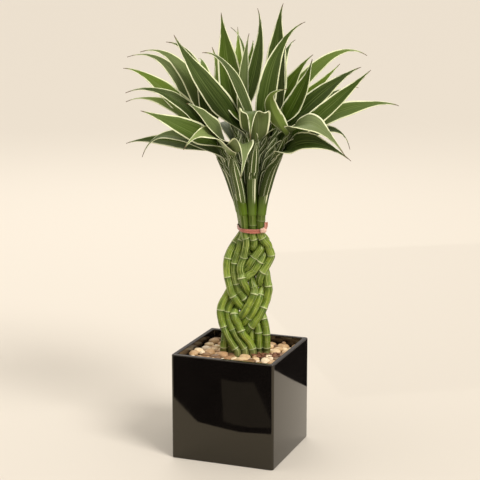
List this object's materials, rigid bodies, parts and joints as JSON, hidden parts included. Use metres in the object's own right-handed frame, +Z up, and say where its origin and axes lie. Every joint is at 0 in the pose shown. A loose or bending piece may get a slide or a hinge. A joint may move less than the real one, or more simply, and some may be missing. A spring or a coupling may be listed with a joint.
{
  "type": "braided lucky bamboo in a square pot",
  "caption": "Lucky bamboo plant with braided green canes, a ribbon tie and cream-edged leaves, standing in pebbles in a glossy black cube pot.",
  "frame": {"origin": "middle of the pot's flat underside", "axes": "+Z up along the plant; X and Y along the pot's walls; the plait's face looks between -Y and +X, 20.7 degrees round from -Y"},
  "size_m": [0.3262, 0.2619, 0.5292],
  "materials": {
    "pot": "glossy black glaze",
    "soil": "dark crumbly potting bark and soil",
    "pebbles": "satin river pebbles, tan to brown",
    "cane": "smooth living green cane, slight gloss",
    "tie": "pinkish red ribbon",
    "leaf": "satin living leaf, dark green with cream margins"
  },
  "bodies": {
    "root": {"pot": "pot", "soil": "soil", "pebbles": "pebbles", "cane_p1": "cane", "cane_p2": "cane", "cane_p3": "cane", "cane_q1": "cane", "cane_q2": "cane", "cane_q3": "cane", "cane_r1": "cane", "cane_r2": "cane", "cane_r3": "cane", "tie": "tie", "shoot_p1": "leaf", "shoot_p2": "leaf", "shoot_p3": "leaf", "shoot_q1": "leaf", "shoot_q2": "leaf", "shoot_q3": "leaf", "shoot_r1": "leaf", "shoot_r2": "leaf", "shoot_r3": "leaf"}
  },
  "joints": []
}
